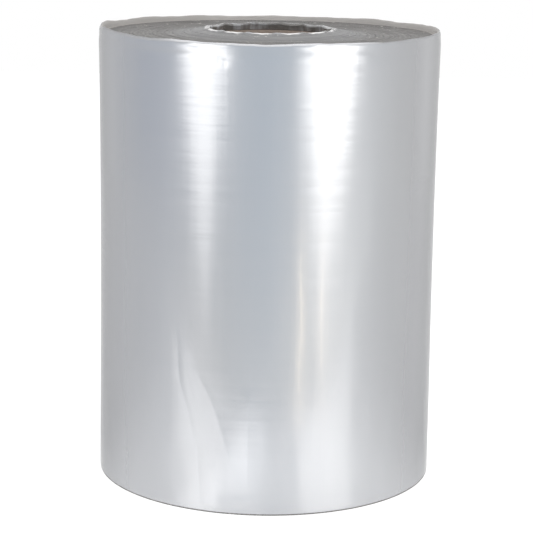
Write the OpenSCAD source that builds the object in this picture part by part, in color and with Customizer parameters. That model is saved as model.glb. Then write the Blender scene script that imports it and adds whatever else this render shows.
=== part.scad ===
// Roll of lay-flat polyethylene tubing, wound on a paperboard core and standing on one end.
// The roll's axis is Z, and the origin is the centre of the end that it stands on.
// Lengths are in millimetres and angles in degrees.

/* [Roll] */
// Outside diameter over the wound film
roll_d = 230; // [140:1:400]
// Height of the standing roll, which is the tubing's lay-flat width
roll_h = 305; // [100:1:900]
// Thickness of the film's free end, which is both walls of the tubing
tail_step = 0.3; // [0.1:0.05:0.8]
// Direction of the free end, counted from +X towards +Y
tail_angle = 62; // [0:1:359]

/* [Core] */
// Bore of the paperboard core
core_bore = 76.2; // [40:0.1:100]
// Wall of the core
core_wall = 5; // [2:0.5:8]
// Clearance between the core and the first turn
core_fit = 0.15; // [0.05:0.05:0.3]
// Depth of each end of the core below the foot of the film's rim
core_sink = 3; // [0.6:0.1:6]
// Clearance between an end of the core and the rim that folds in over it
end_gap = 0.25; // [0.1:0.05:0.4]

/* [Upper end] */
// Height of the last turns above the end face
lip_h = 3.6; // [2.5:0.1:8]
// Thickness of the band of last turns that stands proud
lip_t = 3.4; // [2.4:0.1:8]
// Height of the waves along the top of that band
lip_wave = 1.1; // [0:0.1:2]
// Height of the highest swell, where the last turns have slid up over the others
lip_swell = 1.8; // [0:0.1:3]
// Depth of the hollow between the last turns and the cone around the core
dish_d = 0.7; // [0:0.1:4]
// Width of a band of turns on the end face, with the groove that parts it from the next
turn_pitch = 2.6; // [1.2:0.1:6]
// Depth of the grooves between those bands
turn_relief = 0.6; // [0.1:0.05:1]
// Width of a groove at its mouth, on both ends of the roll
groove_w = 0.8; // [0.3:0.05:1]

/* [Cone around the core] */
// Radial width of the first turns that have slid up into a cone
cone_w = 12; // [4:0.5:24]
// Rise of the cone's top above the end face
cone_rise = 1.7; // [0.5:0.1:6]
// Depth of the hollow that the same turns leave in the lower end
under_rise = 3.8; // [3:0.1:8]

/* [Puckered rim] */
// Radial width of the gathered rim, from the first turn outwards
rim_w = 7.5; // [6:0.5:14]
// Height of the rim above the cone's top
rim_rise = 2.4; // [1.5:0.1:3]
// Reach of the rim inwards over the end of the core
rim_reach = 2.4; // [1:0.1:2.8]
// Number of puckers around the rim
puckers = 13; // [6:1:24]
// Depth of a pucker
pucker_depth = 1.3; // [0.2:0.1:1.8]
// Depth of the fine pleats down the inside of the rim
pleat = 0.3; // [0:0.1:0.6]

/* [Foot] */
// Height at which the last turns end above the surface that the roll stands on
foot_gap = 0.8; // [0.3:0.1:2]
// Depth by which the turns at the foot stand back from the outside
foot_inset = 0.9; // [0.4:0.1:2]
// Width of a band of turns on the foot, with its groove
foot_pitch = 4.4; // [3:0.1:12]
// Depth of those grooves
foot_relief = 0.4; // [0.1:0.05:1]

/* [Hidden] */
$fn = 180;

roll_r = roll_d / 2;
core_r = core_bore / 2 + core_wall;
film_bore_r = core_r + core_fit;
rim_out_r = film_bore_r + rim_w;
cone_out_r = rim_out_r + cone_w;
band_in_r = roll_r - lip_t;
face_out_r = band_in_r - 1.2;
face_z = roll_h - lip_h;
cone_z = face_z + cone_rise;
core_top_z = cone_z - core_sink;
core_foot_z = under_rise + core_sink;

// How far a ring that is fused to the body reaches into it
sunk = 1;
// How far the lip's outside stays within the last turn where it leaves it
lip_inset = 0.1;
// The lip's swells, each with its direction, its share of the highest and its reach to either side
swells = [
    [171, 1, 10], [142, 0.75, 8], [119, 0.35, 6], [53, 0.45, 11], [14, 0.65, 15], [292, 0.3, 15],
    [232, 0.35, 18]
];
// Columns of the lip's mesh, and of each pucker's
lip_columns = 120;
pucker_columns = 8;

// A point at an angle, a radius and a height
function at(angle, r, z) = [r * cos(angle), r * sin(angle), z];

// An angle brought into one turn
function wrapped(angle) = angle - 360 * floor(angle / 360);

// Radius of the last turn, which is thickest where its free end lies and runs out half a turn on
function last_turn_r(angle) =
    let (past = wrapped(angle - tail_angle))
    past < 180 ? roll_r + tail_step * (1 + cos(past)) / 2 : roll_r;

// The waves along the top of the last turns, from 0 to 1
function lip_ripple(angle) =
    0.5 + 0.2 * cos(2 * angle + 10) + 0.14 * sin(9 * angle + 50) + 0.16 * sin(17 * angle);

// The swells along the top of the last turns, added up
function lip_bulge(angle) =
    [for (swell = swells) swell[1] * exp(-pow((wrapped(angle - swell[0] + 180) - 180) / swell[2], 2))]
    * [for (swell = swells) 1];

// Height of the top of the last turns
function lip_top(angle) = roll_h - lip_wave * (1 - lip_ripple(angle)) + lip_swell * lip_bulge(angle);

// An S-shaped rise from 0 to 1
function eased(share) = share * share * (3 - 2 * share);

// A run of bands from one radius to another, each on the level that its share of the way gives.
// A groove parts each band from the next, cut down where relief is negative and up where it is positive.
function banded(from_r, to_r, pitch, relief, level) =
    let (
        count = max(1, round(abs(to_r - from_r) / pitch)),
        step = (to_r - from_r) / count,
        slot = groove_w * sign(step),
        band = 1 - slot / step
    )
    [for (i = [0:count - 1])
        let (start = from_r + i * step, depth = relief * (0.55 + 0.45 * abs(sin(97 * i))))
        each concat(
            [[start, level(i / count)]],
            i == count - 1 ? [] : [
                [start + step - slot, level((i + band) / count)],
                [start + step - slot / 2, level((i + band) / count) + depth]
            ]
        )];

// The end face, from the last turns in to the cone's foot, with its hollow deepest halfway
function face_points() =
    banded(face_out_r, cone_out_r, turn_pitch, -turn_relief,
        function (share) face_z - dish_d * sin(180 * share));

// The cone of first turns, up from the end face
function cone_points() =
    banded(cone_out_r, rim_out_r, turn_pitch, -turn_relief,
        function (share) face_z + cone_rise * eased(share));

// The hollow that the same turns leave below, down to the foot
function under_points() =
    banded(rim_out_r, cone_out_r, turn_pitch, turn_relief,
        function (share) under_rise * eased(1 - share));

// The foot, out to the last turns
function foot_points() =
    banded(cone_out_r, roll_r - foot_inset, foot_pitch, foot_relief, function (share) 0);

// A closed ring through sections of equal length, each a loop of points round the ring's own middle
module swept_ring(sections) {
    columns = len(sections);
    loop = len(sections[0]);
    polyhedron(
        points = [for (section = sections) each section],
        faces = [for (i = [0:columns - 1], j = [0:loop - 1])
            let (a = i * loop, b = ((i + 1) % columns) * loop, next = (j + 1) % loop)
            each [[a + j, b + next, b + j], [a + j, a + next, b + next]]],
        convexity = 8
    );
}

// The wound film within its last turns: bore, grooved end face, cone, and the flat that it stands on
module turned_body() {
    rotate_extrude()
        polygon(concat(
            [[film_bore_r, under_rise]],
            under_points(),
            foot_points(),
            [
                [roll_r - foot_inset, 0],
                [roll_r - foot_inset, face_z - sunk],
                [band_in_r + 0.3, face_z - sunk],
                [band_in_r + 0.3, face_z]
            ],
            face_points(),
            cone_points(),
            [[rim_out_r, cone_z], [film_bore_r, cone_z]]
        ));
}

// Outline of the last turn: two half circles whose centres differ by half the film's thickness
module last_turn_outline() {
    side = 2 * roll_d;
    rotate(tail_angle) {
        intersection() {
            circle(r = roll_r);
            translate([-side / 2, -side]) square([side, side]);
        }
        intersection() {
            translate([tail_step / 2, 0]) circle(r = roll_r + tail_step / 2);
            translate([-side / 2, 0]) square([side, side]);
        }
    }
}

// The last turns, which hang just above the foot
module last_turns() {
    translate([0, 0, foot_gap])
        linear_extrude(height = face_z - foot_gap)
            difference() {
                last_turn_outline();
                circle(r = band_in_r);
            }
}

// The wavy lip where the last turns stand above the end face and lean in a little
module lip() {
    swept_ring([for (i = [0:lip_columns - 1])
        let (
            angle = 360 * (i + 0.5) / lip_columns,
            r = last_turn_r(angle) - lip_inset,
            top = lip_top(angle),
            rise = top - face_z,
            r_in = r - lip_t
        )
        [
            at(angle, r_in, face_z - sunk),
            at(angle, r, face_z - sunk),
            at(angle, r - 0.08 * lip_t, face_z + 0.2 * rise),
            at(angle, r - 0.15 * lip_t, face_z + 0.6 * rise),
            at(angle, r - 0.27 * lip_t, face_z + 0.9 * rise),
            at(angle, r - 0.5 * lip_t, top),
            at(angle, r - 0.76 * lip_t, face_z + 0.9 * rise),
            at(angle, r_in + 0.1 * lip_t, face_z + 0.6 * rise)
        ]]);
}

// The gathered rim of the first turns, which folds in over the end of the core
module puckered_rim() {
    count = puckers * pucker_columns;
    swept_ring([for (i = [0:count - 1])
        let (
            even = 360 * i / count,
            angle = even + 3.5 * sin(2 * even + 40) + 1.8 * sin(3 * even),
            sag = sin(180 * (i % pucker_columns) / pucker_columns),
            depth = pucker_depth * (0.75 + 0.25 * sin(100 * floor(i / pucker_columns))),
            r_in = film_bore_r - rim_reach + depth * (0.5 - sag),
            r_out = rim_out_r - 0.8,
            top = cone_z + rim_rise - 0.8 * depth * sag,
            under = core_top_z + end_gap,
            fold = pleat * (i % 2)
        )
        [
            at(angle, r_in + 0.7, under),
            at(angle, r_out, under),
            at(angle, r_out, cone_z - 0.2),
            at(angle, r_out - 0.3 * rim_w, cone_z + (0.24 - 0.1 * sag) * rim_rise),
            at(angle, r_out - 0.58 * rim_w, cone_z + (0.66 - 0.22 * sag) * rim_rise),
            at(angle, r_in + 1.6, top - 0.1),
            at(angle, r_in + 0.6, top),
            at(angle, r_in + 0.3 * fold, top - 0.3 * rim_rise),
            at(angle, r_in + 0.3 + fold, (top + under) / 2)
        ]]);
}

// All the turns of tubing as one solid
module film_roll() {
    color([0.78, 0.82, 0.87]) {
        turned_body();
        last_turns();
        lip();
        puckered_rim();
        translate([0, 0, cone_z + under_rise]) mirror([0, 0, 1]) puckered_rim();
    }
}

// Spirally wound paperboard tube that carries the film
module core_tube() {
    color([0.62, 0.46, 0.31])
        translate([0, 0, core_foot_z])
            difference() {
                cylinder(r = core_r, h = core_top_z - core_foot_z);
                translate([0, 0, -1]) cylinder(r = core_bore / 2, h = core_top_z - core_foot_z + 2);
            }
}

film_roll();
core_tube();
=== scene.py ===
"""Roll of clear lay-flat poly tubing, standing on its end: wound film, paperboard core and stage."""
import math

import bpy
import numpy as np
from bpy.props import FloatProperty, FloatVectorProperty, IntProperty, PointerProperty
from mathutils import Euler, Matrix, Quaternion, Vector


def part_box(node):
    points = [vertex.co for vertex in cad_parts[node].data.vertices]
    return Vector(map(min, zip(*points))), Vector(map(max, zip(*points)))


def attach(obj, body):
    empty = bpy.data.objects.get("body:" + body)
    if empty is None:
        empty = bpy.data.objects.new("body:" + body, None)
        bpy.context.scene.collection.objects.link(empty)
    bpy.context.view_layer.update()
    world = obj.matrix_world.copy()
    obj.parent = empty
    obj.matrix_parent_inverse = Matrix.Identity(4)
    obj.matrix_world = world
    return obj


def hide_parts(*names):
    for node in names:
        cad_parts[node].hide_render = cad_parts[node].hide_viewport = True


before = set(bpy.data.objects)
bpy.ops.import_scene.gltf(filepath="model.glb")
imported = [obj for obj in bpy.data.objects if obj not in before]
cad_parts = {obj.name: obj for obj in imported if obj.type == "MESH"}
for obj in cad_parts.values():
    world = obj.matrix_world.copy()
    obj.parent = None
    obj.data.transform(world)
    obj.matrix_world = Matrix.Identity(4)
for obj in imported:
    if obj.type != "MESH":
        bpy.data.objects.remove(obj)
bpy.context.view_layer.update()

bl_info = {
    "name": "Poly Tubing Roll",
    "version": (1, 0, 0),
    "blender": (4, 5, 0),
    "location": "View3D > Sidebar > Tubing Roll",
    "description": "Builds a roll of clear poly tubing with its core, and a plain studio around it",
    "category": "Add Mesh",
}

MM = 0.001
CORE_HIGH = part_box("core_tube")[1]


class RollSizes(bpy.types.PropertyGroup):
    """Sizes of the wound film."""

    roll_r: FloatProperty(
        name="Roll radius", description="Radius over the last turn", default=0.115, unit="LENGTH")
    tail_step: FloatProperty(
        name="Free end", description="Thickness of the film's free end", default=0.0003, unit="LENGTH")
    tail_angle: FloatProperty(
        name="Free end angle", description="Where the free end lies, from +X towards +Y",
        default=math.radians(62), subtype="ANGLE")
    lip_h: FloatProperty(
        name="Lip height", description="Height of the last turns above the end face", default=0.0036,
        unit="LENGTH")
    lip_t: FloatProperty(
        name="Lip thickness", description="Thickness of the last turns that stand proud", default=0.0034,
        unit="LENGTH")
    lip_wave: FloatProperty(
        name="Lip waves", description="Height of the waves along the lip", default=0.0011, unit="LENGTH")
    turn_pitch: FloatProperty(
        name="Band width", description="Width of a band of turns on the end face", default=0.0026,
        unit="LENGTH")
    turn_relief: FloatProperty(
        name="Groove depth", description="Depth of the grooves between the bands", default=0.00045,
        unit="LENGTH")
    cone_w: FloatProperty(
        name="Cone width", description="Radial width of the first turns that slid up", default=0.012,
        unit="LENGTH")
    cone_rise: FloatProperty(
        name="Cone rise", description="Rise of those turns above the end face", default=0.0017,
        unit="LENGTH")
    under_rise: FloatProperty(
        name="Lower hollow", description="Depth of the hollow in the lower end", default=0.0038,
        unit="LENGTH")
    rim_w: FloatProperty(
        name="Rim width", description="Radial width of the gathered rim", default=0.0075, unit="LENGTH")
    rim_reach: FloatProperty(
        name="Rim reach", description="Reach of the rim inwards over the core's end", default=0.0024,
        unit="LENGTH")
    puckers: IntProperty(name="Puckers", description="Number of puckers around the rim", default=13)
    core_sink: FloatProperty(
        name="Core sink", description="Depth of the core's end below the foot of the rim", default=0.003,
        unit="LENGTH")
    lip_swell: FloatProperty(
        name="Lip swell", description="Height of the highest swell, where the last turns have slid up",
        default=0.0018, unit="LENGTH")
    waist: FloatProperty(
        name="Waist", description="How far the slack film draws in halfway up", default=0.0009,
        unit="LENGTH")
    columns: IntProperty(
        name="Columns", description="Columns of the mesh on the ends; twice as many on side, lip and rim",
        default=260)


class FilmFinish(bpy.types.PropertyGroup):
    """Colours and gloss of the film and the core."""

    film: FloatVectorProperty(
        name="Film", description="Colour of the wound film", default=(0.353, 0.357, 0.367), subtype="COLOR",
        min=0, max=1)
    film_pale: FloatVectorProperty(
        name="Pale film", description="Colour where few turns lie together", default=(0.403, 0.407, 0.416),
        subtype="COLOR", min=0, max=1)
    film_metal: FloatProperty(
        name="Silvery share", description="How far the stacked films reflect like silver", default=0.7,
        min=0, max=1, subtype="FACTOR")
    film_rough: FloatProperty(
        name="Film roughness", description="Roughness of the outer film", default=0.2, min=0, max=1,
        subtype="FACTOR")
    edge: FloatVectorProperty(
        name="Film edges", description="Colour of the edges of the turns", default=(0.195, 0.186, 0.176),
        subtype="COLOR", min=0, max=1)
    board: FloatVectorProperty(
        name="Paperboard", description="Colour of the core", default=(0.31, 0.25, 0.21),
        subtype="COLOR", min=0, max=1)


class StageSettings(bpy.types.PropertyGroup):
    """Camera, lamps and floor."""

    camera_distance: FloatProperty(
        name="Camera distance", description="Level distance from the roll's axis", default=1.25,
        unit="LENGTH")
    camera_height: FloatProperty(
        name="Camera height", description="Height above the floor", default=0.409, unit="LENGTH")
    camera_pitch: FloatProperty(
        name="Camera pitch", description="Angle below the horizon", default=math.radians(12.12),
        subtype="ANGLE")
    camera_roll: FloatProperty(
        name="Camera roll", description="Turn about the line of sight", default=math.radians(0.86),
        subtype="ANGLE")
    lens: FloatProperty(name="Lens", description="Focal length in millimetres", default=124.8)
    lamp_distance: FloatProperty(
        name="Lamp distance", description="Distance of the softboxes from the axis", default=1.3,
        unit="LENGTH")
    lamp_strength: FloatProperty(
        name="Lamp strength", description="Brightness of the softboxes' cloth", default=3.0)
    floor_front: FloatProperty(
        name="Table edge", description="Distance of the table's front edge from the axis", default=0.36,
        unit="LENGTH")


# Shared shader node groups


def new_group(name, inputs, outputs):
    """An empty shader node group with the named sockets, each given as a name, a type and a default."""
    group = bpy.data.node_groups.new(name, "ShaderNodeTree")
    for label, kind, value in inputs:
        socket = group.interface.new_socket(label, in_out="INPUT", socket_type=kind)
        socket.default_value = value
    for label, kind in outputs:
        group.interface.new_socket(label, in_out="OUTPUT", socket_type=kind)
    return group, group.nodes.new("NodeGroupInput"), group.nodes.new("NodeGroupOutput")


def math_node(nodes, operation, *values):
    """A Math node with plain numbers set and sockets linked."""
    node = nodes.new("ShaderNodeMath")
    node.operation = operation
    for i, value in enumerate(values):
        if isinstance(value, (int, float)):
            node.inputs[i].default_value = value
        else:
            node.id_data.links.new(value, node.inputs[i])
    return node.outputs[0]


def mix_colour(nodes, share, a, b):
    """A colour mix of a and b, each a socket or a colour."""
    node = nodes.new("ShaderNodeMix")
    node.data_type = "RGBA"
    for socket, value in ((node.inputs["Factor"], share), (node.inputs[6], a), (node.inputs[7], b)):
        if isinstance(value, bpy.types.NodeSocket):
            node.id_data.links.new(value, socket)
        elif isinstance(value, (int, float)):
            socket.default_value = value
        else:
            socket.default_value = (*value[:3], 1.0)
    return node.outputs[2]


def scaled(colour, factor):
    """A colour made darker or paler."""
    return tuple(factor * c for c in colour)


def contrast(nodes, mask, low, high):
    """A mask with everything below one level made 0 and everything above another made 1."""
    node = nodes.new("ShaderNodeMapRange")
    node.inputs["From Min"].default_value = low
    node.inputs["From Max"].default_value = high
    node.id_data.links.new(mask, node.inputs["Value"])
    return node.outputs[0]


def streaks_group():
    """Noise stretched along the roll's axis, or round it, from the place on the roll."""
    group, start, end = new_group(
        "film streaks",
        [("Across", "NodeSocketFloat", 60.0), ("Along", "NodeSocketFloat", 6.0),
         ("Detail", "NodeSocketFloat", 3.0)],
        [("Mask", "NodeSocketFloat")])
    nodes, links = group.nodes, group.links
    place = nodes.new("ShaderNodeTexCoord")
    scale = nodes.new("ShaderNodeCombineXYZ")
    links.new(start.outputs["Across"], scale.inputs["X"])
    links.new(start.outputs["Across"], scale.inputs["Y"])
    links.new(start.outputs["Along"], scale.inputs["Z"])
    stretched = nodes.new("ShaderNodeVectorMath")
    stretched.operation = "MULTIPLY"
    links.new(place.outputs["Object"], stretched.inputs[0])
    links.new(scale.outputs[0], stretched.inputs[1])
    noise = nodes.new("ShaderNodeTexNoise")
    noise.inputs["Scale"].default_value = 1.0
    links.new(start.outputs["Detail"], noise.inputs["Detail"])
    links.new(stretched.outputs[0], noise.inputs["Vector"])
    links.new(noise.outputs["Fac"], end.inputs["Mask"])
    return group


def turns_group():
    """Fine circles of wound turns, broken up along their length, from the distance to the axis."""
    group, start, end = new_group(
        "wound turns",
        [("Lines per metre", "NodeSocketFloat", 900.0), ("Break up", "NodeSocketFloat", 14.0)],
        [("Mask", "NodeSocketFloat"), ("Radius", "NodeSocketFloat")])
    nodes, links = group.nodes, group.links
    place = nodes.new("ShaderNodeTexCoord")
    apart = nodes.new("ShaderNodeSeparateXYZ")
    links.new(place.outputs["Object"], apart.inputs[0])
    flat = math_node(nodes, "ADD", math_node(nodes, "POWER", apart.outputs["X"], 2.0),
                     math_node(nodes, "POWER", apart.outputs["Y"], 2.0))
    radius = math_node(nodes, "SQRT", flat)
    lines = math_node(nodes, "MULTIPLY", radius, start.outputs["Lines per metre"])
    point = nodes.new("ShaderNodeCombineXYZ")
    break_up = start.outputs["Break up"]
    for axis in ("X", "Y"):
        links.new(math_node(nodes, "MULTIPLY", apart.outputs[axis], break_up), point.inputs[axis])
    links.new(lines, point.inputs["Z"])
    noise = nodes.new("ShaderNodeTexNoise")
    noise.inputs["Scale"].default_value = 1.0
    noise.inputs["Detail"].default_value = 2.5
    noise.inputs["Roughness"].default_value = 0.6
    links.new(point.outputs[0], noise.inputs["Vector"])
    links.new(noise.outputs["Fac"], end.inputs["Mask"])
    links.new(radius, end.inputs["Radius"])
    return group


def ticks_group():
    """Short marks across the turns, in patches, from the angle round the axis."""
    group, start, end = new_group(
        "ticks across",
        [("Marks round", "NodeSocketFloat", 230.0), ("Patches", "NodeSocketFloat", 50.0)],
        [("Mask", "NodeSocketFloat")])
    nodes, links = group.nodes, group.links
    place = nodes.new("ShaderNodeTexCoord")
    apart = nodes.new("ShaderNodeSeparateXYZ")
    links.new(place.outputs["Object"], apart.inputs[0])
    patches = nodes.new("ShaderNodeTexNoise")
    patches.inputs["Detail"].default_value = 1.0
    links.new(place.outputs["Object"], patches.inputs["Vector"])
    links.new(start.outputs["Patches"], patches.inputs["Scale"])
    angle = math_node(nodes, "ARCTAN2", apart.outputs["Y"], apart.outputs["X"])
    round_it = math_node(nodes, "MULTIPLY", angle, start.outputs["Marks round"])
    uneven = math_node(nodes, "MULTIPLY_ADD", patches.outputs["Fac"], 22.0, round_it)
    marks = contrast(nodes, math_node(nodes, "SINE", uneven), 0.2, 0.9)
    share = contrast(nodes, patches.outputs["Fac"], 0.44, 0.52)
    links.new(math_node(nodes, "MULTIPLY", marks, share), end.inputs["Mask"])
    return group


def place_group(nodes, group, **values):
    """A node that shows the group, with its own values."""
    node = nodes.new("ShaderNodeGroup")
    node.node_tree = group
    for label, value in values.items():
        node.inputs[label.replace("_", " ")].default_value = value
    return node


def new_material(name):
    """An empty material with its Principled shader, which every finish here starts from."""
    material = bpy.data.materials.new(name)
    material.use_nodes = True
    nodes = material.node_tree.nodes
    return material, nodes, material.node_tree.links, nodes["Principled BSDF"]


def bump(nodes, height, strength, distance, normal=None):
    """A Bump node on a height, over another normal if one is given."""
    node = nodes.new("ShaderNodeBump")
    node.inputs["Strength"].default_value = strength
    node.inputs["Distance"].default_value = distance
    node.id_data.links.new(height, node.inputs["Height"])
    if normal is not None:
        node.id_data.links.new(normal, node.inputs["Normal"])
    return node.outputs["Normal"]


def outer_film_material(finish, streaks):
    """The glossy outer turns: silvery, with faint bands along the axis, marks round the roll, and a painted
    highlight along the lip's upper edge, strongest toward the viewer."""
    material, nodes, links, shader = new_material("outer_film")
    broad = place_group(nodes, streaks, Across=26.0, Along=2.2, Detail=2.0).outputs["Mask"]
    fine = place_group(nodes, streaks, Across=240.0, Along=9.0, Detail=3.0).outputs["Mask"]
    rings = place_group(nodes, streaks, Across=9.0, Along=260.0, Detail=3.0).outputs["Mask"]
    jolts = place_group(nodes, streaks, Across=7.0, Along=170.0, Detail=3.0).outputs["Mask"]
    colour = mix_colour(nodes, broad, finish.film, finish.film_pale)
    colour = mix_colour(nodes, math_node(nodes, "MULTIPLY", rings, 0.2), colour, finish.film_pale)
    # Painted highlight: near white is mixed in where the crest attribute is set, on the lip's upper edge
    # and most toward the viewer.
    crest = nodes.new("ShaderNodeAttribute")
    crest.attribute_name = "crest"
    colour = mix_colour(nodes, crest.outputs["Fac"], colour, (0.85, 0.85, 0.87))
    links.new(colour, shader.inputs["Base Color"])
    rough = math_node(nodes, "MULTIPLY_ADD", fine, 0.06, finish.film_rough - 0.07)
    rough = math_node(nodes, "MULTIPLY_ADD", rings, 0.10, rough)
    links.new(rough, shader.inputs["Roughness"])
    shader.inputs["Metallic"].default_value = finish.film_metal
    shader.inputs["Specular Tint"].default_value = (0.5, 0.5, 0.5, 1)
    shader.inputs["Coat Weight"].default_value = 0.2
    shader.inputs["Coat Roughness"].default_value = 0.03
    normal = bump(nodes, fine, 0.12, 0.0004)
    normal = bump(nodes, jolts, 0.16, 0.0005, normal)
    links.new(normal, shader.inputs["Normal"])
    return material


# Radii between which the short marks come up towards the outside, and the paleness towards the core
TICKS_START_R, TICKS_FULL_R = 94 * MM, 100 * MM
PALE_START_R, PALE_FULL_R = 74 * MM, 56 * MM


def turn_edges_material(finish, turns, ticks, streaks):
    """The ends of the roll: many film edges side by side, grey, finely ringed, and paler round the core."""
    material, nodes, links, shader = new_material("turn_edges")
    fine_turns = place_group(nodes, turns, Lines_per_metre=2600.0, Break_up=10.0)
    fine = fine_turns.outputs["Mask"]
    broad = place_group(nodes, turns, Lines_per_metre=300.0, Break_up=34.0).outputs["Mask"]
    marks = place_group(nodes, ticks, Marks_round=230.0, Patches=48.0).outputs["Mask"]
    spots = place_group(nodes, streaks, Across=90.0, Along=90.0, Detail=3.0).outputs["Mask"]
    glints = place_group(nodes, streaks, Across=420.0, Along=420.0, Detail=1.0).outputs["Mask"]
    dark = scaled(finish.edge, 0.42)
    pale = scaled(finish.edge, 1.75)
    outer = contrast(nodes, fine_turns.outputs["Radius"], TICKS_START_R, TICKS_FULL_R)
    inner = contrast(nodes, fine_turns.outputs["Radius"], PALE_START_R, PALE_FULL_R)
    colour = mix_colour(nodes, fine, dark, pale)
    darker = math_node(nodes, "MULTIPLY", contrast(nodes, broad, 0.35, 0.65), 0.55)
    colour = mix_colour(nodes, darker, colour, dark)
    colour = mix_colour(nodes, math_node(nodes, "MULTIPLY", spots, 0.14), colour, finish.film_pale)
    colour = mix_colour(nodes, math_node(nodes, "MULTIPLY", inner, 0.4), colour, finish.film_pale)
    ticked = math_node(nodes, "MULTIPLY", math_node(nodes, "MULTIPLY", marks, outer), 0.6)
    colour = mix_colour(nodes, ticked, colour, dark)
    # Painted glints: small warm near-white specks where two noises peak, in place of light caught by
    # scuffed film edges.
    painted_glints = math_node(nodes, "MULTIPLY", contrast(nodes, glints, 0.64, 0.74),
                       contrast(nodes, spots, 0.48, 0.58))
    colour = mix_colour(nodes, math_node(nodes, "MULTIPLY", painted_glints, 0.6), colour, (0.85, 0.8, 0.74))
    links.new(colour, shader.inputs["Base Color"])
    shader.inputs["Roughness"].default_value = 0.42
    shader.inputs["Specular IOR Level"].default_value = 0.12
    normal = bump(nodes, fine, 0.6, 0.0006)
    normal = bump(nodes, broad, 0.6, 0.0014, normal)
    normal = bump(nodes, spots, 0.5, 0.003, normal)
    links.new(normal, shader.inputs["Normal"])
    return material


def lip_film_material(finish, streaks):
    """The inside of the lip: the edges of the last turns, slid up past each other, dull and grey."""
    material, nodes, links, shader = new_material("lip_film")
    broad = place_group(nodes, streaks, Across=26.0, Along=40.0, Detail=2.0).outputs["Mask"]
    fine = place_group(nodes, streaks, Across=120.0, Along=700.0, Detail=3.0).outputs["Mask"]
    colour = mix_colour(nodes, broad, scaled(finish.edge, 1.9), scaled(finish.edge, 2.4))
    links.new(colour, shader.inputs["Base Color"])
    shader.inputs["Roughness"].default_value = 0.5
    links.new(bump(nodes, fine, 0.3, 0.0003), shader.inputs["Normal"])
    return material


def rim_film_material(finish, streaks):
    """The gathered rim around the bore: folded film, with painted shade in its folds and a painted
    highlight where it sags.
    """
    material, nodes, links, shader = new_material("rim_film")
    fine = place_group(nodes, streaks, Across=420.0, Along=40.0, Detail=3.0).outputs["Mask"]
    folds = place_group(nodes, streaks, Across=110.0, Along=30.0, Detail=2.0).outputs["Mask"]
    crest = nodes.new("ShaderNodeAttribute")
    crest.attribute_name = "crest"
    dark = scaled(finish.edge, 0.7)
    # Painted shade: the low parts of the folds' relief are made dark.
    colour = mix_colour(nodes, contrast(nodes, folds, 0.44, 0.6), dark, finish.film)
    lines = math_node(nodes, "MULTIPLY", contrast(nodes, fine, 0.4, 0.6), 0.6)
    colour = mix_colour(nodes, lines, colour, dark)
    # Painted highlight: near white where the crest attribute is set, on the rim's sags and strongest toward
    # the viewer.
    colour = mix_colour(nodes, contrast(nodes, crest.outputs["Fac"], 0.4, 0.8), colour, (0.95, 0.94, 0.91))
    links.new(colour, shader.inputs["Base Color"])
    shader.inputs["Roughness"].default_value = 0.24
    shader.inputs["Metallic"].default_value = 0.2
    shader.inputs["Coat Weight"].default_value = 0.6
    shader.inputs["Coat Roughness"].default_value = 0.1
    normal = bump(nodes, fine, 0.5, 0.0006)
    links.new(bump(nodes, folds, 0.6, 0.002, normal), shader.inputs["Normal"])
    return material


# Climb of the board's plies in a turn, and the share of it that the seam takes
PLY_CLIMB = 90 * MM
SEAM_SHARE = 0.012


def board_material(finish, streaks):
    """Kraft paperboard: fibres, and the slanting seams of its spirally wound plies."""
    material, nodes, links, shader = new_material("kraft_board")
    fibres = place_group(nodes, streaks, Across=900.0, Along=500.0, Detail=4.0).outputs["Mask"]
    clouds = place_group(nodes, streaks, Across=40.0, Along=40.0, Detail=3.0).outputs["Mask"]
    place = nodes.new("ShaderNodeTexCoord")
    apart = nodes.new("ShaderNodeSeparateXYZ")
    links.new(place.outputs["Object"], apart.inputs[0])
    angle = math_node(nodes, "ARCTAN2", apart.outputs["Y"], apart.outputs["X"])
    turn = math_node(nodes, "DIVIDE", angle, 2 * math.pi)
    climb = math_node(nodes, "MULTIPLY_ADD", apart.outputs["Z"], 1 / PLY_CLIMB, turn)
    share = math_node(nodes, "FRACT", climb)
    seam = math_node(nodes, "LESS_THAN", share, SEAM_SHARE)
    colour = mix_colour(nodes, fibres, scaled(finish.board, 0.75), scaled(finish.board, 1.3))
    clouded = math_node(nodes, "MULTIPLY", clouds, 0.4)
    colour = mix_colour(nodes, clouded, colour, scaled(finish.board, 1.15))
    seamed = math_node(nodes, "MULTIPLY", seam, 0.6)
    colour = mix_colour(nodes, seamed, colour, scaled(finish.board, 0.4))
    links.new(colour, shader.inputs["Base Color"])
    shader.inputs["Roughness"].default_value = 0.85
    normal = bump(nodes, fibres, 0.35, 0.0003)
    normal = bump(nodes, math_node(nodes, "SUBTRACT", 1.0, seam), 0.6, 0.0004, normal)
    links.new(normal, shader.inputs["Normal"])
    return material


# The wound film's mesh


def eased(share):
    """An S-shaped rise from 0 to 1."""
    return share * share * (3 - 2 * share)


def waves(angles, terms):
    """A sum of whole waves round the roll, each given as a count, a height and a phase in degrees."""
    return sum(height * np.sin(count * angles + math.radians(phase)) for count, height, phase in terms)


def banded(from_r, to_r, pitch, relief, level, groove_w=0.8 * MM):
    """Bands of turns between two radii, a groove after each, as radius, height and band number."""
    count = max(1, round(abs(to_r - from_r) / pitch))
    step = (to_r - from_r) / count
    slot_w = math.copysign(groove_w, step)
    points = []
    for i in range(count):
        first = from_r + i * step
        depth = relief * (0.55 + 0.45 * abs(math.sin(math.radians(97 * i))))
        last = first + step - slot_w
        share = (last - from_r) / (to_r - from_r)
        points.append((first, level(i / count), i))
        if relief < 0:
            points.append(((first + last) / 2, level((i / count + share) / 2), i))
        if i < count - 1:
            points += [(last, level(share), i), (last + slot_w / 2, level(share) + depth, i)]
    return points


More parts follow.
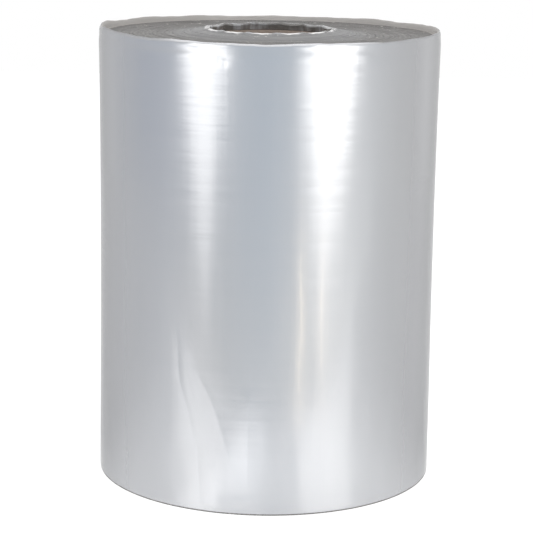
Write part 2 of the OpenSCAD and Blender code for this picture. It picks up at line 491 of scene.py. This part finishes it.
# Clearance over the core, and how far in the end face stops short of the lip
CORE_CLEARANCE = 0.15 * MM
LIP_GAP = 1.2 * MM
# The foot: how far in its outer edge lies, its bands and their grooves, and the hem and line above it
FOOT_INSET = 0.9 * MM
FOOT_PITCH = 4.4 * MM
FOOT_RELIEF = 0.4 * MM
HEM_H = 0.3 * MM
HEM_INSET = 0.1 * MM
FOOT_LINE = 0.9 * MM
# The side creases most near the floor and near its top, so its rings lie closer over these heights
FOOT_CREASES_H, FOOT_CREASE_RINGS = 96 * MM, 36
TOP_CREASES_H, TOP_CREASE_RINGS = 36 * MM, 20
PLAIN_RINGS = 22
# Depth of the hollow in the end face between the lip and the cone
HOLLOW = 0.7 * MM
# Rings over the lip and over the rim
LIP_STEPS = 13
RIM_STEPS = 16


def film_sections(sizes):
    """The film's outline as a list of rings: kind, radius, height and number along the kind."""
    cone_z = CORE_HIGH.z + sizes.core_sink
    face_z = cone_z - sizes.cone_rise
    height = face_z + sizes.lip_h
    bore_r = CORE_HIGH.x + CORE_CLEARANCE
    rim_out_r = bore_r + sizes.rim_w
    cone_out_r = rim_out_r + sizes.cone_w
    face_out_r = sizes.roll_r - sizes.lip_t - LIP_GAP
    foot_r = sizes.roll_r - FOOT_INSET
    low_end = sizes.under_rise + sizes.core_sink
    rings = [("bore", bore_r, z, 0) for z in (CORE_HIGH.z, low_end)]
    rings += [("under_rim", i, 0, i) for i in range(RIM_STEPS - 1, -1, -1)]
    rings += [("under", r, z, i) for r, z, i in banded(
        rim_out_r, cone_out_r, sizes.turn_pitch, sizes.turn_relief,
        lambda share: sizes.under_rise * eased(1 - share))]
    rings += [("foot", r, z, i) for r, z, i in banded(
        cone_out_r, foot_r, FOOT_PITCH, FOOT_RELIEF, lambda share: 0.0)]
    rings += [("foot", foot_r, 0.0, 0), ("hem", foot_r, HEM_H, 0)]
    rings += [("edge", sizes.roll_r - HEM_INSET, HEM_H, 0)]
    stretches = (
        (HEM_H + FOOT_LINE, FOOT_CREASES_H, FOOT_CREASE_RINGS),
        (FOOT_CREASES_H, face_z - TOP_CREASES_H, PLAIN_RINGS),
        (face_z - TOP_CREASES_H, face_z, TOP_CREASE_RINGS),
    )
    for from_z, to_z, count in stretches:
        rings += [("side", 0.0, from_z + (to_z - from_z) * i / count, i) for i in range(count)]
    rings += [("lip", i, 0, i) for i in range(LIP_STEPS)]
    rings += [("face", r, z, i) for r, z, i in banded(
        face_out_r, cone_out_r, sizes.turn_pitch, -sizes.turn_relief,
        lambda share: face_z - HOLLOW * math.sin(math.pi * share))]
    rings += [("cone", r, z, i) for r, z, i in banded(
        cone_out_r, rim_out_r, sizes.turn_pitch, -sizes.turn_relief,
        lambda share: face_z + sizes.cone_rise * eased(share))]
    rings += [("rim", i, 0, i) for i in range(RIM_STEPS)]
    return rings, (height, bore_r, rim_out_r, face_z, cone_z)


def last_turn_r(sizes, angles):
    """Radius of the last turn: thickest where the free end lies, and run out half a turn on."""
    past = (angles - sizes.tail_angle) % (2 * math.pi)
    step = np.where(past < math.pi, sizes.tail_step * (1 + np.cos(past)) / 2, 0.0)
    return sizes.roll_r + step


# Creases in the outer film: points in degrees from the viewer towards +X and millimetres above the
# floor, then the height of the crease and its reach to either side in millimetres
CREASES = (
    (((-33.3, 140), (-30, 115), (-28.9, 86), (-25.4, 65), (-22, 40), (-21, 7)), -0.30, 2.4),
    (((-21, 88), (-17.1, 73), (-14.8, 61), (-11.6, 42), (-9.1, 23), (-7.5, 16)), 0.13, 1.8),
    (((-5.4, 78), (-5.2, 20)), 0.26, 4.0),
    (((-26.5, 98), (-24, 84), (-22.5, 66)), -0.14, 3.0),
    (((-19.4, 6.5), (-12, 7.5), (-4, 10.5)), 0.40, 1.6),
    (((32, 156), (27, 108), (24, 75), (21, 36)), 0.10, 7.0),
    (((16, 96), (15.5, 18)), 0.07, 4.0),
    (((-45, 168), (-38, 140), (-36, 118)), 0.08, 6.0),
    (((26, 303), (36, 297.5), (47, 295)), -0.20, 1.8),
    (((17, 296), (28, 291.5), (36, 290)), 0.07, 2.0),
    (((-34, 303.5), (-26, 301), (-14, 293)), -0.34, 1.8),
    (((-15, 290), (-9, 287)), 0.07, 1.8),
    (((-52, 300), (-38, 296)), 0.08, 2.4),
    (((58, 290), (72, 294), (84, 300)), 0.09, 2.6),
    (((110, 301), (122, 290), (128, 262)), 0.14, 4.0),
    (((176, 40), (170, 88), (172, 120)), 0.12, 5.0),
    (((214, 300), (206, 286), (204, 240)), 0.12, 4.0),
    (((232, 12), (236, 60), (233, 96)), 0.13, 5.0),
    (((96, 8), (99, 46), (97, 82)), 0.12, 5.0),
    (((-100, 298), (-84, 293), (-76, 293)), 0.09, 2.4),
)


def crease_height(sizes, angles, z, crease):
    """How far a crease lifts the film at each angle and a height: most on its line, less to either side."""
    points, height, reach = crease
    nearest = np.full(angles.shape, 1.0)
    for (a0, z0), (a1, z1) in zip(points, points[1:]):
        along = (angles - math.radians(a0 - 90) + math.pi) % (2 * math.pi) - math.pi
        across = along * sizes.roll_r
        run = math.radians(a1 - a0) * sizes.roll_r
        rise, up = (z1 - z0) * MM, z - z0 * MM
        share = np.clip((across * run + up * rise) / (run * run + rise * rise), 0, 1)
        nearest = np.minimum(nearest, np.hypot(across - share * run, up - share * rise))
    return height * MM * np.exp(-nearest / (reach * MM))


# Lift of the free end, and how far the shoulder under the lip draws in and reaches down
END_LIFT = 0.35 * MM
SHOULDER_IN = 0.45 * MM
SHOULDER_H = 3.5 * MM


def side_surface(sizes, angles, z, top):
    """Radius of the outer film at each angle and a height, with its slack waves and creases."""
    share = z / top
    slack = waves(angles, [(5, 0.05 * MM, 20 + 60 * share), (11, 0.04 * MM, 130 - 80 * share),
                           (17, 0.03 * MM, 75 + 150 * share), (29, 0.016 * MM, 200 - 130 * share),
                           (41, 0.010 * MM, 33 + 210 * share)])
    slack = slack + (1 - share) ** 2 * waves(angles, [
        (23, 0.05 * MM, 900 * share), (31, 0.04 * MM, 140 - 1300 * share), (47, 0.02 * MM, 1900 * share)])
    for crease in CREASES:
        slack = slack + crease_height(sizes, angles, z, crease)
    past = (angles - sizes.tail_angle) % (2 * math.pi)
    loose = np.exp(-past / 0.05) * END_LIFT * (1 + 0.6 * math.sin(41 * share + 0.6) * math.sin(17 * share))
    shoulder = -SHOULDER_IN * math.exp(-((top - z) / SHOULDER_H) ** 2)
    drawn_in = sizes.waist * math.sin(math.pi * share ** 1.3) ** 0.8
    return last_turn_r(sizes, angles) + slack + loose + shoulder - drawn_in


# The lip's swells: direction in degrees from +X towards +Y, share of the highest, reach to either side
SWELLS = ((171, 1, 10), (142, 0.75, 8), (119, 0.35, 6), (53, 0.45, 11), (14, 0.65, 15), (292, 0.3, 15),
          (232, 0.35, 18), (199, 0.95, 16), (342, 0.5, 14))
# The lip's section from its outside to its inside, in shares of its thickness and of its height
LIP_OUTLINE = (
    (-0.13, 0.08), (-0.13, 0.24), (-0.135, 0.42), (-0.15, 0.58), (-0.18, 0.74), (-0.25, 0.88),
    (-0.37, 0.97), (-0.52, 1.0), (-0.67, 0.95), (-0.80, 0.82), (-0.89, 0.62), (-0.96, 0.35),
    (-1.02, 0.02),
)


def lip_ring(sizes, angles, step, face_z, height):
    """Radius and height of one ring of the lip, from its outside over its wavy top to its inside."""
    ripple = 0.5 + waves(angles, [(2, 0.2, 100), (9, 0.14, 50), (17, 0.16, 0)])
    fine = waves(angles, [(37, 0.5, 10), (53, 0.5, 80)])
    bulge = sum(share * np.exp(-((np.degrees(angles) - at + 180) % 360 - 180) ** 2 / reach ** 2)
                for at, share, reach in SWELLS)
    top = height - sizes.lip_wave * (1 - ripple) + sizes.lip_swell * bulge + 0.12 * MM * fine
    rise = top - face_z
    across, up = LIP_OUTLINE[step]
    r = last_turn_r(sizes, angles) + across * sizes.lip_t
    r = r + 0.1 * MM * fine * up
    return r, face_z + up * rise


def pucker_place(sizes, angles):
    """Where each angle lies along the puckers: their count so far, and the sag from 0 to 1."""
    turn = (angles / (2 * math.pi)) % 1.0
    even = turn
    for _ in range(4):
        a = 2 * math.pi * even
        drift = np.radians(3.5) * np.sin(2 * a + math.radians(40)) + np.radians(1.8) * np.sin(3 * a)
        even = turn - drift / (2 * math.pi)
    along = (even % 1.0) * sizes.puckers
    return along, np.sin(math.pi * (along % 1.0))


# Depth of the deepest sag between two puckers, rise of the rim, and height of the pleats inside it
SAG = 1.7 * MM
RIM_RISE = 2.4 * MM
PLEAT = 0.3 * MM


def rim_ring(sizes, angles, step, bore_r, rim_out_r, cone_z):
    """Radius and height of one ring of the gathered rim, from its foot over its crest and in under it."""
    along, sag = pucker_place(sizes, angles)
    number = np.floor(along)
    depth = SAG * (0.75 + 0.25 * np.sin(np.radians(100 * number)))
    r_in = bore_r - sizes.rim_reach + depth * (0.5 - sag)
    r_out = rim_out_r - 0.8 * MM
    rise = RIM_RISE
    top = cone_z + rise - 0.8 * depth * sag
    under = CORE_HIGH.z + 0.25 * MM
    fold = waves(angles, [(31, 0.10 * MM, 15), (47, 0.07 * MM, 140)])
    pleat = PLEAT * (0.5 + 0.5 * np.sin(2 * math.pi * along * 4 + 1.2 * np.sin(5 * angles)))
    pleat = pleat * (0.55 + 0.45 * np.sin(7 * angles + 1.0)) + 0.12 * MM * np.sin(71 * angles)
    spread = r_out - r_in - 1.6 * MM
    outline = (
        (r_out + 0.8 * MM, cone_z),
        (r_out, cone_z + 0.02 * rise),
        (r_out - 0.16 * spread, cone_z + (0.10 - 0.04 * sag) * rise + 0.4 * fold),
        (r_out - 0.33 * spread, cone_z + (0.25 - 0.10 * sag) * rise + 0.7 * fold),
        (r_out - 0.52 * spread, cone_z + (0.45 - 0.17 * sag) * rise + fold),
        (r_out - 0.72 * spread, cone_z + (0.70 - 0.2 * sag) * rise + fold),
        (r_out - 0.88 * spread, cone_z + (0.88 - 0.12 * sag) * rise + 0.6 * fold),
        (r_in + 1.5 * MM, top - 0.10 * MM),
        (r_in + 0.9 * MM, top - 0.01 * MM),
        (r_in + 0.35 * MM, top - 0.18 * MM),
        (r_in + 0.3 * pleat, top - 0.3 * rise),
        (r_in + 0.1 * MM + 0.8 * pleat, 0.75 * (top - 0.3 * rise) + 0.25 * under),
        (r_in + 0.3 * MM + pleat, 0.5 * (top - 0.3 * rise) + 0.5 * under),
        (r_in + 0.5 * MM + 0.8 * pleat, 0.25 * (top - 0.3 * rise) + 0.75 * under),
        (r_in + 0.7 * MM, under + 0.1 * MM),
        (r_in + 1.2 * MM, under),
    )
    return outline[step]


def film_rows(sizes, angles):
    """Every ring of the film as its radius and height at each angle, and its kind."""
    sections, (height, bore_r, rim_out_r, face_z, cone_z) = film_sections(sizes)
    rows = []
    one = np.ones_like(angles)
    for kind, r, z, i in sections:
        if kind == "side":
            rows.append((side_surface(sizes, angles, z, face_z), z * one, kind))
        elif kind == "lip":
            rows.append((*lip_ring(sizes, angles, i, face_z, height), kind))
        elif kind == "rim":
            rows.append((*rim_ring(sizes, angles, i, bore_r, rim_out_r, cone_z), kind))
        elif kind == "under_rim":
            ring_r, ring_z = rim_ring(sizes, -angles, i, bore_r, rim_out_r, cone_z)
            rows.append((ring_r, cone_z + sizes.under_rise - ring_z, kind))
        elif kind in ("face", "cone"):
            waver = waves(angles, [(3 + i % 4, 0.10 * MM, 47 * i), (7 + i % 5, 0.05 * MM, 83 * i)])
            drift = waves(angles, [(2 + i % 3, 0.12 * MM, 31 * i)])
            rows.append((r * one + drift, z + waver, kind))
        else:
            rows.append((r * one, z * one, kind))
    return rows


# The finishes in their order on the film; kinds of ring that aren't named here show the edges of turns
OUTER, EDGES, LIP, RIM = range(4)
FINISH_OF_KIND = {"side": OUTER, "lip": LIP, "rim": RIM, "under_rim": RIM}
# Kinds of ring that have all the columns
FINE_KINDS = ("side", "lip", "rim")
# Steps of the rim that still show the edges of turns, and those on its crest, where a highlight is painted
SLOPE_STEPS = 5
HIGHLIGHT_STEPS = (5, 6, 7, 8)
# Steps of the lip in the outer film's finish, and how strongly a highlight is painted on the steps of its
# upper edge in front
LIP_OUTSIDE = 7
LIP_HIGHLIGHT = {4: 0.3, 5: 0.8, 6: 1.0, 7: 0.6}
# Direction of the viewer, and the reach of the closer columns to either side of it
FRONT = math.radians(270)
FRONT_REACH = math.radians(66)
# Angle from which an edge of the mesh is sharp
SHARP_FROM = math.radians(50)


def column_angles(sizes):
    """Angles of the fine columns, from one side of the free end to the other, closest at the front."""
    gap, samples, closer = 0.0004, 3601, 1.5
    past = np.linspace(gap, 2 * math.pi - gap, samples)
    density = 1 + closer * np.exp(-((past + sizes.tail_angle - FRONT) / FRONT_REACH) ** 6)
    travelled = np.concatenate([[0.0], np.cumsum((density[1:] + density[:-1]) / 2)])
    wanted = np.linspace(0, travelled[-1], 2 * sizes.columns - 1)
    return sizes.tail_angle + np.interp(wanted, travelled, past)


def ring_faces(low, low_count, high, high_count):
    """Faces between two rings, each given by its first point and its count, equal or half as many."""
    if low_count == high_count:
        i = np.arange(low_count)
        j = (i + 1) % low_count
        return np.stack([low + i, low + j, high + j, high + i], axis=-1).tolist()
    k = np.arange(min(low_count, high_count) - 1)
    if low_count > high_count:
        faces = np.stack([low + 2 * k, low + 2 * k + 1, low + 2 * k + 2, high + k + 1, high + k], axis=-1)
    else:
        faces = np.stack([low + k, low + k + 1, high + 2 * k + 2, high + 2 * k + 1, high + 2 * k], axis=-1)
    return faces.tolist() + [[low + low_count - 1, low, high, high + high_count - 1]]


def facing(angles, low, reach):
    """A share that rises from 0 to 1 as the film turns to the viewer, from the cosine of its direction."""
    return eased(np.clip((np.cos(angles - FRONT) - low) / reach, 0, 1))


def film_mesh(sizes):
    """The film's closed mesh: rings round the axis joined into one skin, with its finishes numbered."""
    angles = column_angles(sizes)
    sag = pucker_place(sizes, angles)[1]
    # Painted highlights go into the crest attribute: on the lip's upper edge facing the viewer, and on the
    # rim's sags, strongest toward the viewer.
    front = facing(angles, 0.76, 0.14)
    rim_lit = 0.2 + 0.8 * facing(angles, 0.1, 0.3)
    rows = film_rows(sizes, angles)
    rims = [i for i, row in enumerate(rows) if row[2] == "rim"]
    lips = [i for i, row in enumerate(rows) if row[2] == "lip"]
    lip_highlight = {lips[step]: share for step, share in LIP_HIGHLIGHT.items()}
    points, crest, starts = [], [], []
    for i, (r, z, kind) in enumerate(rows):
        every = slice(None, None, 1 if kind in FINE_KINDS else 2)
        ring = np.stack([r * np.cos(angles), r * np.sin(angles), z + 0 * angles], axis=-1)[every]
        starts.append((len(points), len(ring)))
        points += ring.tolist()
        highlighted = i in [rims[step] for step in HIGHLIGHT_STEPS]
        crest += (sag * rim_lit if highlighted else lip_highlight.get(i, 0.0) * front)[every].tolist()
    finish_of_row = {**dict.fromkeys(rims[:SLOPE_STEPS], EDGES), **dict.fromkeys(lips[:LIP_OUTSIDE], OUTER)}
    faces, finish = [], []
    for i, (_, _, kind) in enumerate(rows):
        ring = ring_faces(*starts[i], *starts[(i + 1) % len(rows)])
        faces += ring
        finish += [finish_of_row.get(i, FINISH_OF_KIND.get(kind, EDGES))] * len(ring)
    mesh = bpy.data.meshes.new("film_roll_turns")
    mesh.from_pydata(points, [], faces)
    mesh.polygons.foreach_set("material_index", finish)
    mesh.polygons.foreach_set("use_smooth", [True] * len(faces))
    # The crest attribute holds the share of painted highlight at each point.
    mesh.attributes.new("crest", "FLOAT", "POINT").data.foreach_set("value", crest)
    mesh.update()
    mesh.set_sharp_from_angle(angle=SHARP_FROM)
    return mesh


class ROLL_OT_film(bpy.types.Operator):
    """Builds the wound film with its lip, ringed ends and puckered rims"""

    bl_idname = "roll.film"
    bl_label = "Wound Film"

    def execute(self, context):
        sizes, finish = context.scene.roll_sizes, context.scene.film_finish
        film = bpy.data.objects.new("wound_film", film_mesh(sizes))
        context.collection.objects.link(film)
        streaks, turns, ticks = streaks_group(), turns_group(), ticks_group()
        for material in (outer_film_material(finish, streaks),
                         turn_edges_material(finish, turns, ticks, streaks),
                         lip_film_material(finish, streaks), rim_film_material(finish, streaks)):
            film.data.materials.append(material)
        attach(film, "root")
        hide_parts("film_roll")
        return {"FINISHED"}


class ROLL_OT_core(bpy.types.Operator):
    """Gives the core its kraft paperboard finish"""

    bl_idname = "roll.core"
    bl_label = "Paperboard Core"

    def execute(self, context):
        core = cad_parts["core_tube"]
        board = board_material(context.scene.film_finish, bpy.data.node_groups["film streaks"])
        core.data.materials.clear()
        core.data.materials.append(board)
        return {"FINISHED"}


# The stage


# Pools of light painted into the table's glow where the softboxes would light it, seen only in reflections:
# their place and reach in metres, and their strength
PAINTED_POOLS = ((0.0, -0.5, 1.2, 0.6, 0.6), (-0.044, -0.25, 0.07, 0.2, 1.4), (0.11, -0.22, 0.16, 0.2, 0.3),
         (0.0, -0.17, 0.5, 0.26, 0.7))


def background_share(nodes):
    """A mask that is 1 for rays that show the plain background: camera, glossy and through glass."""
    rays = nodes.new("ShaderNodeLightPath")
    share = math_node(nodes, "MAXIMUM", rays.outputs["Is Camera Ray"], rays.outputs["Is Glossy Ray"])
    return math_node(nodes, "MAXIMUM", share, rays.outputs["Is Transmission Ray"]), rays


def spot_share(nodes, x, y, reach_x, reach_y):
    """A mask that fades from 1 at a place, seen from above, to 0 at its reach."""
    place = nodes.new("ShaderNodeTexCoord")
    spread = nodes.new("ShaderNodeVectorMath")
    spread.operation = "MULTIPLY_ADD"
    spread.inputs[1].default_value = (1 / reach_x, 1 / reach_y, 0)
    spread.inputs[2].default_value = (-x / reach_x, -y / reach_y, 0)
    nodes.id_data.links.new(place.outputs["Object"], spread.inputs[0])
    away = nodes.new("ShaderNodeVectorMath")
    away.operation = "LENGTH"
    nodes.id_data.links.new(spread.outputs[0], away.inputs[0])
    fade = nodes.new("ShaderNodeMapRange")
    fade.interpolation_type = "SMOOTHSTEP"
    fade.inputs["To Min"].default_value = 1.0
    fade.inputs["To Max"].default_value = 0.0
    nodes.id_data.links.new(away.outputs["Value"], fade.inputs["Value"])
    return fade.outputs[0]


def floor_material():
    """Pale table top: white with a soft shadow, and painted pools of light and a sheen that only what
    stands on it reflects.
    """
    material, nodes, links, shader = new_material("pale_table")
    shader.inputs["Base Color"].default_value = (0.82, 0.82, 0.82, 1)
    shader.inputs["Roughness"].default_value = 0.5
    share, rays = background_share(nodes)
    unseen = math_node(nodes, "SUBTRACT", 1.0, rays.outputs["Is Camera Ray"])
    # Painted light: the pools are added to the glow for all rays but the camera's.
    painted_pools = 0.0
    for *spot, amount in PAINTED_POOLS:
        painted_pools = math_node(nodes, "MULTIPLY_ADD", spot_share(nodes, *spot), amount, painted_pools)
    plain = nodes.new("ShaderNodeBsdfDiffuse")
    plain.inputs["Color"].default_value = (0.35, 0.35, 0.35, 1)
    glow = nodes.new("ShaderNodeEmission")
    links.new(math_node(nodes, "MULTIPLY_ADD", painted_pools, unseen, 0.86), glow.inputs["Strength"])
    white = nodes.new("ShaderNodeAddShader")
    links.new(plain.outputs[0], white.inputs[0])
    links.new(glow.outputs[0], white.inputs[1])
    gloss = nodes.new("ShaderNodeBsdfGlossy")
    gloss.inputs["Roughness"].default_value = 0.06
    slant = nodes.new("ShaderNodeFresnel")
    slant.inputs["IOR"].default_value = 1.6
    sheen = nodes.new("ShaderNodeMixShader")
    links.new(math_node(nodes, "MULTIPLY", slant.outputs[0], unseen), sheen.inputs[0])
    links.new(white.outputs[0], sheen.inputs[1])
    links.new(gloss.outputs[0], sheen.inputs[2])
    pick = nodes.new("ShaderNodeMixShader")
    links.new(share, pick.inputs[0])
    links.new(shader.outputs[0], pick.inputs[1])
    links.new(sheen.outputs[0], pick.inputs[2])
    links.new(pick.outputs[0], nodes["Material Output"].inputs["Surface"])
    return material


def make_table(settings):
    """The table top: a wide slab with a rounded front edge."""
    half_width, depth, radius, steps, drop = 2.5, 2.5, 0.02, 6, 0.04
    profile = [(depth, 0.0)]
    for i in range(steps + 1):
        turn = 0.5 * math.pi * i / steps
        profile.append((-settings.floor_front + radius - radius * math.sin(turn),
                        radius * math.cos(turn) - radius))
    profile.append((-settings.floor_front, -drop))
    points = [(x, y, z) for x in (-half_width, half_width) for y, z in profile]
    n = len(profile)
    faces = [(i, i + 1, n + i + 1, n + i) for i in range(n - 1)]
    mesh = bpy.data.meshes.new("table")
    mesh.from_pydata(points, [], faces)
    mesh.polygons.foreach_set("use_smooth", [True] * len(faces))
    table = bpy.data.objects.new("table", mesh)
    mesh.materials.append(floor_material())
    bpy.context.collection.objects.link(table)


# Softboxes: azimuth from the viewer towards +X in degrees, then heights from the bottom up, each with the
# reach to the left and to the right in metres
SOFTBOXES = (
    (-40, (
        (-0.14, 0.01, 0.01), (-0.06, 0.06, 0.06), (0.00, 0.14, 0.11), (0.09, 0.29, 0.20),
        (0.18, 0.43, 0.31), (0.24, 0.38, 0.32), (0.32, 0.28, 0.28), (0.50, 0.18, 0.18),
        (0.70, 0.10, 0.10))),
    (36, (
        (-0.17, 0.01, 0.01), (-0.12, 0.03, 0.03), (-0.08, 0.07, 0.08), (-0.05, 0.12, 0.13),
        (0.00, 0.20, 0.23), (0.09, 0.32, 0.42), (0.18, 0.37, 0.55), (0.30, 0.28, 0.52), (0.50, 0.16, 0.36),
        (0.75, 0.10, 0.12))),
)
# Width of the softboxes' soft edge, their colour, and how they fade towards the bottom
SOFT_EDGE = 0.15
SOFTBOX_TINT = (1.0, 0.98, 0.95)
LOWER_SHARE, FADE_H = 0.2, 0.3
# The wall's reach to either side and its step in degrees, then its lowest and highest place and its step
WALL_REACH, WALL_STEP = 165, 1.5
WALL_LOW, WALL_HIGH, WALL_RISE = -0.8, 1.0, 0.03
# Where the wall is lit: azimuth and its reach in degrees, height and its reach in metres, and the colour
# that is added there to plain white
GLOWS = (
    (0, 30, 0.2, 0.5, (-0.11, 0.02, 0.17)), (58, 26, 0.2, 0.5, (0.27, 0.30, 0.34)),
    (-70, 40, 0.15, 0.26, (-0.08, -0.01, 0.12)), (-60, 40, -0.36, 0.18, (0.62, 0.60, 0.55)),
    (54, 42, -0.30, 0.26, (0.82, 0.80, 0.74)), (0, 60, -0.5, 0.2, (0.62, 0.60, 0.55)),
    (-128, 14, 0.1, 0.6, (0.2, 0.2, 0.2)), (128, 14, 0.2, 0.5, (0.35, 0.35, 0.35)),
    (0, 70, 1.0, 0.2, (1.8, 1.8, 1.8)), (-19, 7, 0.14, 0.12, (0.2, 0.2, 0.2)),
    (72, 16, -0.2, 0.16, (0.15, 0.15, 0.15)), (-84, 16, 0.1, 0.22, (-0.14, -0.14, -0.12)),
)
# Lamp stands, painted as glowing strips in place of the light they would catch: azimuth in degrees, the
# heights between which they glow, and their half width, then their glow colour and how far they stand
# before the wall
STANDS = ((21.8, -0.24, -0.07, 0.010), (35.5, -0.20, -0.09, 0.008))
STAND_GLOW = (10.0, 8.6, 6.6)
STAND_GAP = 0.02


def emitting_mesh(name, points, faces, colours):
    """A sheet of the stage that glows in the colour given at each point, unseen by the camera."""
    mesh = bpy.data.meshes.new(name)
    mesh.from_pydata(points, [], faces)
    lit = mesh.attributes.new("lit", "FLOAT_COLOR", "POINT")
    lit.data.foreach_set("color", np.concatenate([colours, np.ones((len(colours), 1))], axis=1).ravel())
    material = bpy.data.materials.new(name)
    material.use_nodes = True
    nodes, links = material.node_tree.nodes, material.node_tree.links
    nodes.clear()
    colour = nodes.new("ShaderNodeAttribute")
    colour.attribute_name = "lit"
    glow = nodes.new("ShaderNodeEmission")
    links.new(colour.outputs["Color"], glow.inputs["Color"])
    links.new(glow.outputs[0], nodes.new("ShaderNodeOutputMaterial").inputs["Surface"])
    mesh.materials.append(material)
    sheet = bpy.data.objects.new(name, mesh)
    sheet.visible_camera = False
    sheet.visible_shadow = False
    bpy.context.collection.objects.link(sheet)
    return sheet


def make_light_wall(settings):
    """A curved white wall round the viewer's side, with the softboxes on it and glowing strips for the lamp
    stands before it.
    """
    distance = settings.lamp_distance
    azimuths = np.arange(-WALL_REACH, WALL_REACH + 0.1, WALL_STEP)
    heights = np.arange(WALL_LOW, WALL_HIGH + 0.01, WALL_RISE)
    a, z = np.meshgrid(azimuths, heights)
    colour = np.ones((*a.shape, 3))
    for at, reach, height, spread, added in GLOWS:
        share = np.exp(-((a - at) / reach) ** 2 - ((z - height) / spread) ** 2)
        colour += share[..., None] * np.array(added)
    for at, outline in SOFTBOXES:
        levels, left, right = np.array(outline).T
        across = np.radians(a - at) * distance
        inward = np.minimum(across + np.interp(z, levels, left), np.interp(z, levels, right) - across)
        inward = np.minimum(inward, np.minimum(z - levels[0], levels[-1] - z))
        share = eased(np.clip(inward / SOFT_EDGE + 0.5, 0, 1))
        fall = LOWER_SHARE + (1 - LOWER_SHARE) * np.clip((z - levels[0]) / FADE_H, 0, 1)
        colour += (share * fall * settings.lamp_strength)[..., None] * np.array(SOFTBOX_TINT)
    points = np.stack([distance * np.sin(np.radians(a)), -distance * np.cos(np.radians(a)), z], axis=-1)
    rows, columns = a.shape
    corner = (np.arange(rows - 1)[:, None] * columns + np.arange(columns - 1)).reshape(-1, 1)
    faces = corner + np.array([0, 1, columns + 1, columns])
    emitting_mesh("light_wall", points.reshape(-1, 3).tolist(), faces.tolist(), colour.reshape(-1, 3))
    # The stands glow in place of the light they would catch.
    for number, (at, low, high, half) in enumerate(STANDS):
        turn = math.radians(at)
        middle = Vector((math.sin(turn), -math.cos(turn), 0)) * (distance - STAND_GAP)
        side = Vector((math.cos(turn), math.sin(turn), 0)) * half
        places = ((-1, low), (1, low), (1, high), (-1, high))
        corners = [tuple(middle + s * side + Vector((0, 0, h))) for s, h in places]
        emitting_mesh(f"glowing_stand_{number}", corners, [(0, 1, 2, 3)], np.tile(STAND_GLOW, (4, 1)))


def make_world():
    """The room: plain white to see and in gloss, with a dimmer, bluish light that is palest from above."""
    world = bpy.data.worlds.new("studio")
    bpy.context.scene.world = world
    world.use_nodes = True
    nodes, links = world.node_tree.nodes, world.node_tree.links
    room = nodes["Background"]
    place = nodes.new("ShaderNodeTexCoord")
    apart = nodes.new("ShaderNodeSeparateXYZ")
    links.new(place.outputs["Generated"], apart.inputs[0])
    up = contrast(nodes, apart.outputs["Z"], 0.05, 0.5)
    links.new(mix_colour(nodes, up, (0.40, 0.43, 0.50), (0.80, 0.80, 0.82)), room.inputs["Color"])
    white = nodes.new("ShaderNodeBackground")
    white.inputs["Color"].default_value = (1, 1, 1, 1)
    pick = nodes.new("ShaderNodeMixShader")
    links.new(background_share(nodes)[0], pick.inputs[0])
    links.new(room.outputs[0], pick.inputs[1])
    links.new(white.outputs[0], pick.inputs[2])
    links.new(pick.outputs[0], nodes["World Output"].inputs["Surface"])


def make_camera(settings):
    """The camera, at the photograph's angle."""
    data = bpy.data.cameras.new("camera")
    data.lens = settings.lens
    data.sensor_width = 36.0
    camera = bpy.data.objects.new("camera", data)
    camera.location = (0.0, -settings.camera_distance, settings.camera_height)
    camera.rotation_mode = "QUATERNION"
    level = Euler((math.radians(90) - settings.camera_pitch, 0, 0)).to_quaternion()
    camera.rotation_quaternion = level @ Quaternion((0, 0, 1), settings.camera_roll)
    bpy.context.collection.objects.link(camera)
    bpy.context.scene.camera = camera


class ROLL_OT_stage(bpy.types.Operator):
    """Sets up the table, the softboxes, the room and the camera"""

    bl_idname = "roll.stage"
    bl_label = "Studio"

    def execute(self, context):
        settings = context.scene.stage_settings
        make_table(settings)
        make_world()
        make_light_wall(settings)
        make_camera(settings)
        context.scene.view_settings.view_transform = "Standard"
        return {"FINISHED"}


class ROLL_PT_panel(bpy.types.Panel):
    """Sizes, finishes and steps of the tubing roll"""

    bl_label = "Tubing Roll"
    bl_space_type = "VIEW_3D"
    bl_region_type = "UI"
    bl_category = "Tubing Roll"

    def draw(self, context):
        scene = context.scene
        for group in (scene.roll_sizes, scene.film_finish, scene.stage_settings):
            box = self.layout.box()
            for name in group.__annotations__:
                box.prop(group, name)
        for operator in (ROLL_OT_film, ROLL_OT_core, ROLL_OT_stage):
            self.layout.operator(operator.bl_idname)


CLASSES = (RollSizes, FilmFinish, StageSettings, ROLL_OT_film, ROLL_OT_core, ROLL_OT_stage, ROLL_PT_panel)


def register():
    """Registers the classes and puts the settings on the scene."""
    for cls in CLASSES:
        bpy.utils.register_class(cls)
    bpy.types.Scene.roll_sizes = PointerProperty(type=RollSizes)
    bpy.types.Scene.film_finish = PointerProperty(type=FilmFinish)
    bpy.types.Scene.stage_settings = PointerProperty(type=StageSettings)


def unregister():
    """Takes the settings and the classes away again."""
    del bpy.types.Scene.stage_settings
    del bpy.types.Scene.film_finish
    del bpy.types.Scene.roll_sizes
    for cls in reversed(CLASSES):
        bpy.utils.unregister_class(cls)


def main():
    """Builds the roll and its stage."""
    register()
    bpy.ops.roll.film()
    bpy.ops.roll.core()
    bpy.ops.roll.stage()


if __name__ == "__main__":
    main()
